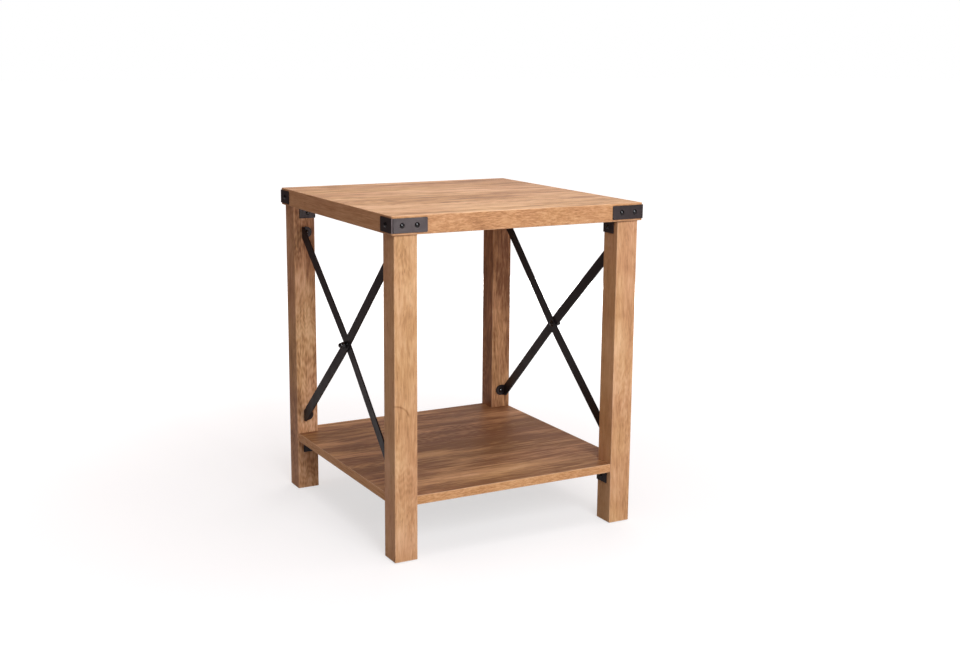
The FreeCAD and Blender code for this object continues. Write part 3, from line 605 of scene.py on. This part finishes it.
def rays_that_see(tree, way, fade):
    """How far a ray sees white, and whether it comes from a mirroring surface: a camera ray sees white everywhere, and
    one from a glossy or clear surface sees it towards the room's back right corner alone."""
    path = add_node(tree, "ShaderNodeLightPath").outputs
    mirrored = sum_up(tree, "MAXIMUM", path["Is Glossy Ray"], path["Is Transmission Ray"])
    right_way = ramp_between(tree, way["X"], 0.0, fade)
    back_way = ramp_between(tree, way["Y"], 0.0, fade)
    bright = sum_up(tree, "MULTIPLY", mirrored, sum_up(tree, "MULTIPLY", right_way, back_way))
    return sum_up(tree, "MAXIMUM", path["Is Camera Ray"], bright), mirrored


floor_paint = bpy.data.materials.new("floor_paint")
floor_paint.use_nodes = True
floor_tree = floor_paint.node_tree
floor_tree.nodes.clear()
floor_place = add_node(floor_tree, "ShaderNodeTexCoord").outputs["Object"]
floor_way = split_axes(floor_tree, floor_place)
floor_far = add_node(floor_tree, "ShaderNodeVectorMath", {0: floor_place}, operation="LENGTH").outputs["Value"]
floor_white = ramp_between(floor_tree, floor_far, *FLOOR_FADE, FLOOR_WHITE, 1.0)
floor_seen, floor_mirrored = rays_that_see(floor_tree, floor_way, FLOOR_CORNER)
floor_close = ramp_between(floor_tree, floor_far, *MIRROR_FADE, MIRROR_WHITE, 0.0)
floor_back = ramp_between(floor_tree, floor_way["Y"], *MIRROR_BACK)
floor_faint = sum_up(floor_tree, "MULTIPLY", floor_mirrored, sum_up(floor_tree, "MULTIPLY", floor_close, floor_back))
floor_glow = sum_up(floor_tree, "MULTIPLY", floor_white, sum_up(floor_tree, "MAXIMUM", floor_seen, floor_faint))
floor_matt = add_node(floor_tree, "ShaderNodeBsdfDiffuse", {"Color": FLOOR_COLOUR})
floor_light = add_node(floor_tree, "ShaderNodeEmission", {"Color": WHITE, "Strength": floor_glow})
floor_both = add_node(floor_tree, "ShaderNodeAddShader", {0: floor_matt.outputs[0], 1: floor_light.outputs[0]})
add_node(floor_tree, "ShaderNodeOutputMaterial", {"Surface": floor_both.outputs[0]})
studio_floor.data.materials.append(floor_paint)

world = bpy.data.worlds.new("studio_world")
bpy.context.scene.world = world
world.use_nodes = True
world_tree = world.node_tree
world_tree.nodes.clear()
world_way = split_axes(world_tree, add_node(world_tree, "ShaderNodeTexCoord").outputs["Generated"])
world_seen, world_mirrored = rays_that_see(world_tree, world_way, WORLD_CORNER)
world_strength = pick(world_tree, world_mirrored, 1.0, MIRRORED_WORLD)
dim_world = add_node(world_tree, "ShaderNodeBackground", {"Color": WORLD_COLOUR, "Strength": world_strength})
white_world = add_node(world_tree, "ShaderNodeBackground", {"Color": WHITE, "Strength": 1.0})
both_worlds = {0: world_seen, 1: dim_world.outputs[0], 2: white_world.outputs[0]}
seen_world = add_node(world_tree, "ShaderNodeMixShader", both_worlds)
add_node(world_tree, "ShaderNodeOutputWorld", {"Surface": seen_world.outputs[0]})


def softbox(name, place, aim, width, height, watts, tint, shines=True, spreads=True):
    """Rectangular area lamp at a place, turned to face a point; one that doesn't shine shows in no reflection, and one
    that doesn't spread shows in reflections alone."""
    lamp = bpy.data.lights.new(name, "AREA")
    lamp.shape, lamp.size, lamp.size_y = "RECTANGLE", width, height
    lamp.energy, lamp.color = watts, tint
    held = bpy.data.objects.new(name, lamp)
    bpy.context.scene.collection.objects.link(held)
    held.location = place
    held.rotation_euler = (Vector(aim) - Vector(place)).to_track_quat("-Z", "Y").to_euler()
    held.visible_camera = False
    held.visible_glossy = shines
    held.visible_diffuse = spreads


softbox("key_softbox", place=(-0.26, -2.25, 1.50), aim=(0.0, -0.1, 0.35), width=1.2, height=0.9, watts=38.5,
        tint=(0.96, 1.0, 1.05))
softbox("low_softbox", place=(0.80, -2.20, 0.27), aim=(-0.1, -0.2, 0.40), width=0.9, height=0.4, watts=8.6,
        tint=(1.0, 0.86, 0.875))
softbox("overhead_softbox", place=(0.1, -0.2, 2.45), aim=(0.0, 0.0, 0.56), width=1.8, height=1.8, watts=30.0,
        tint=(1.0, 0.99, 0.98), shines=False)
softbox("glint_softbox", place=(-0.72, -2.20, 2.10), aim=(-0.1, -0.1, 0.45), width=0.45, height=0.45, watts=26.0,
        tint=(0.96, 0.97, 1.0), spreads=False)
softbox("back_softbox", place=(1.75, 1.75, 0.26), aim=(0.0, 0.0, 0.35), width=1.6, height=0.3, watts=40.0,
        tint=(1.0, 0.97, 0.95), shines=False)


# Camera: stands to the left of the front, a little above the top, turned down on the table as in the photograph.
# Its place, turn and focal length are fitted to the table's straight edges, with no shift of the lens.
CAMERA_PLACE = (-1.0890, -2.0835, 0.8088)
CAMERA_YAW, CAMERA_DOWN, CAMERA_ROLL = math.radians(-28.72), math.radians(11.68), math.radians(0.47)
FOCAL_PIXELS, IMAGE_WIDTH, SENSOR_WIDTH = 1349.1, 960.0, 36.0

camera_data = bpy.data.cameras.new("camera")
camera_data.sensor_width = SENSOR_WIDTH
camera_data.lens = FOCAL_PIXELS * SENSOR_WIDTH / IMAGE_WIDTH
camera = bpy.data.objects.new("camera", camera_data)
bpy.context.scene.collection.objects.link(camera)
back = Vector((math.sin(CAMERA_YAW) * math.cos(CAMERA_DOWN), -math.cos(CAMERA_YAW) * math.cos(CAMERA_DOWN),
               math.sin(CAMERA_DOWN)))
level = Vector((math.cos(CAMERA_YAW), math.sin(CAMERA_YAW), 0.0))
upright = back.cross(level)
right = level * math.cos(CAMERA_ROLL) + upright * math.sin(CAMERA_ROLL)
up = back.cross(right)
turn = Matrix((right, up, back)).transposed().to_4x4()
camera.matrix_world = Matrix.Translation(CAMERA_PLACE) @ turn
bpy.context.scene.camera = camera
bpy.context.scene.view_settings.view_transform = "Standard"
